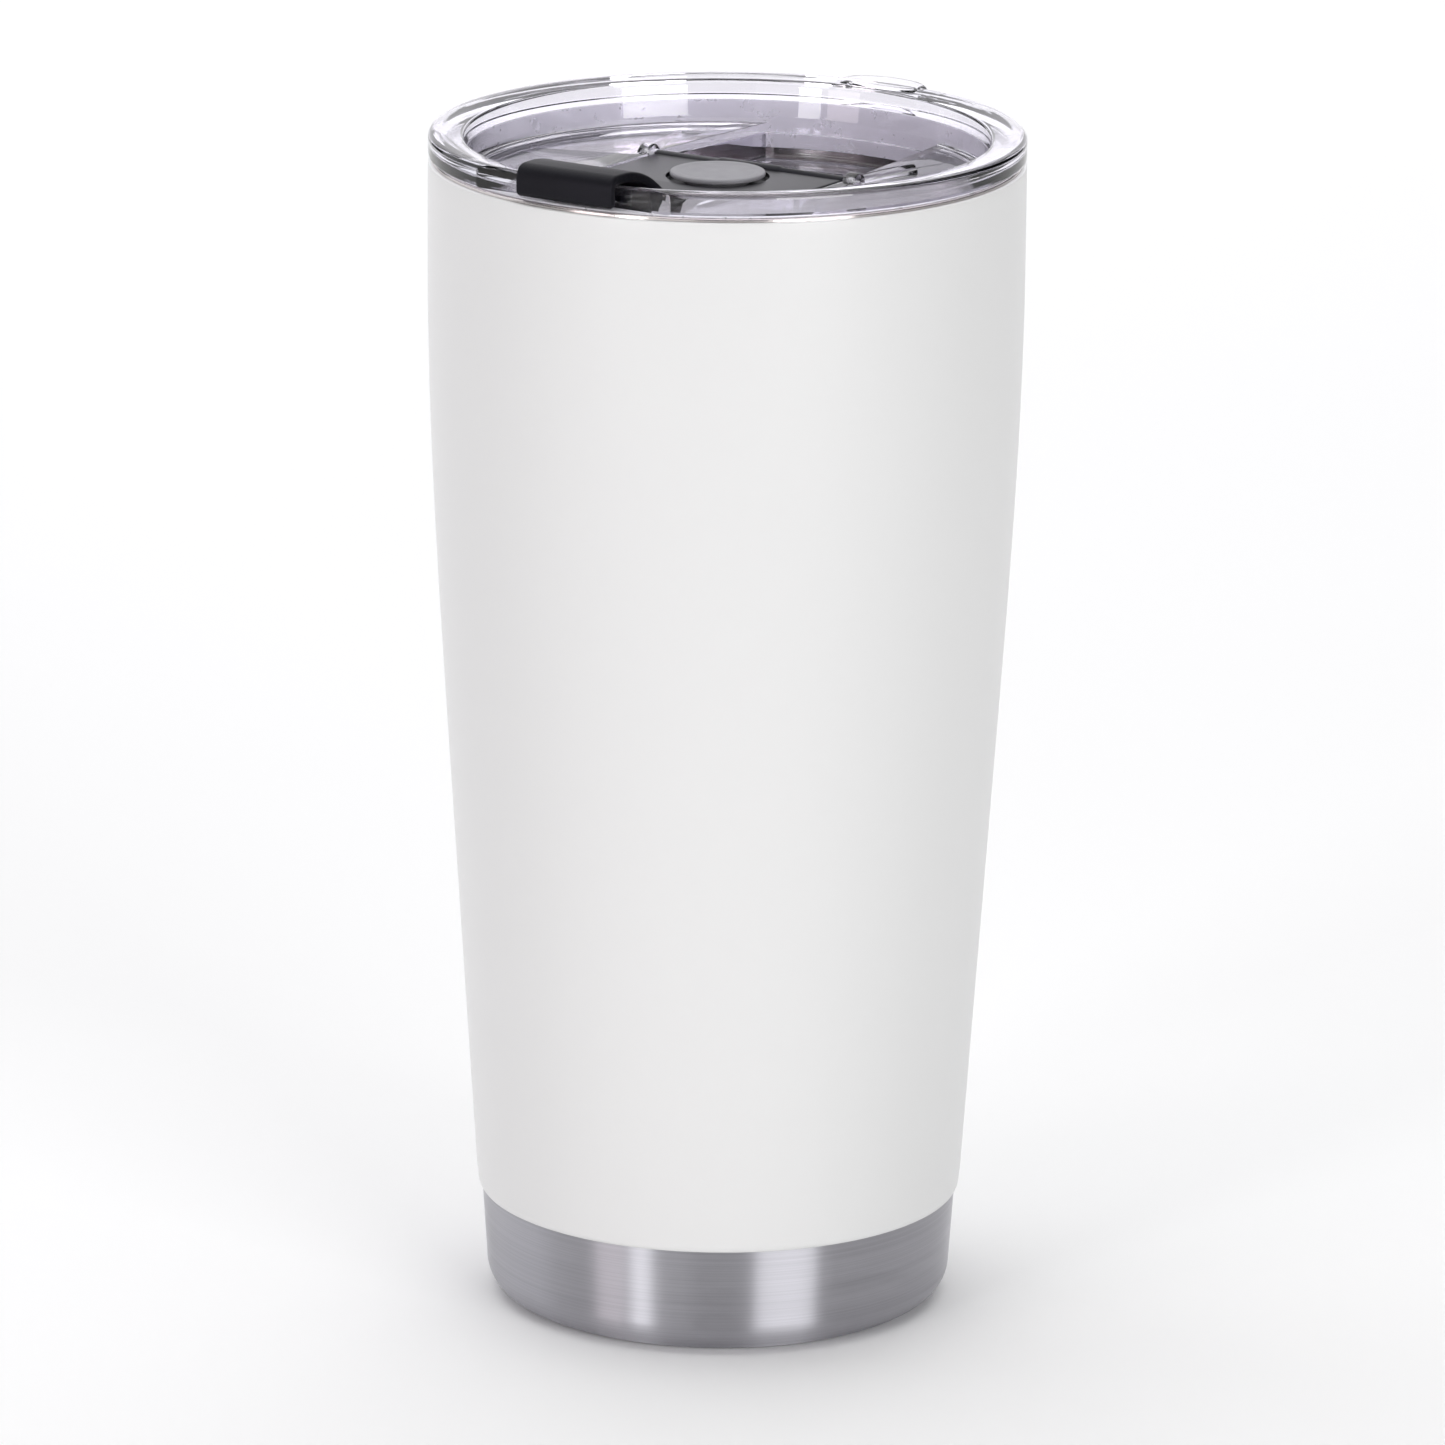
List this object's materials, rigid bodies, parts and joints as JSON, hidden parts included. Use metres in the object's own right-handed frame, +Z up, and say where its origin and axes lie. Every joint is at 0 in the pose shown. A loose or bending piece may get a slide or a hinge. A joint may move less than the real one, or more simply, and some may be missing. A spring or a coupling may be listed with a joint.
{
  "type": "insulated tumbler with lid",
  "caption": "Tapered vacuum-walled drinking tumbler with a bare steel foot, a clear plug-in lid, a flip-back flap and a pull-out straw stopper.",
  "frame": {"origin": "centre of the base ring, in the plane that the tumbler stands on", "axes": "+Z up along the cup's axis; the flap hinges about an axis along X behind the lid's centre, and its thumb tab points to -Y"},
  "size_m": [0.0874, 0.0904, 0.1782],
  "materials": {
    "steel": "brushed around the axis, satin",
    "coat": "smooth white powder coat, soft gloss",
    "liner": "electropolished, finely drawn",
    "copper": "thin copper foil",
    "getter": "pressed powder pellet, matt",
    "solder": "glassy solder bead",
    "clear": "clear hard plastic, polished",
    "gasket": "soft milky silicone, satin",
    "pin": "ground pin",
    "flap": "black plastic, satin with a fine grain on the tab",
    "stopper": "grey silicone, matt",
    "seal": "grey silicone, matt"
  },
  "bodies": {
    "cup": {"outer_shell": "steel", "colour_coat": "coat", "inner_liner": "liner", "copper_foil": "copper", "base_pan": "steel", "base_cap": "steel", "port_seal": "solder", "getter": "getter", "getter_tray": "steel"},
    "lid": {"lid_body": "clear", "lid_gasket": "gasket", "hinge_pin": "pin"},
    "flap": {"flap": "flap", "sip_seal": "seal"},
    "stopper": {"straw_stopper": "stopper"}
  },
  "joints": [
    {"name": "lid_lift", "type": "slide", "parent": "cup", "child": "lid", "axis": [0, 0, 1], "range_m": [0, 0.03]},
    {"name": "flap_hinge", "type": "hinge", "parent": "lid", "child": "flap", "pos_m": [0, 0.0062, 0.1696], "axis": [-1, 0, 0], "range_deg": [0, 155]},
    {"name": "stopper_pull", "type": "slide", "parent": "flap", "child": "stopper", "axis": [0, 0, 1], "range_m": [0, 0.004]}
  ]
}
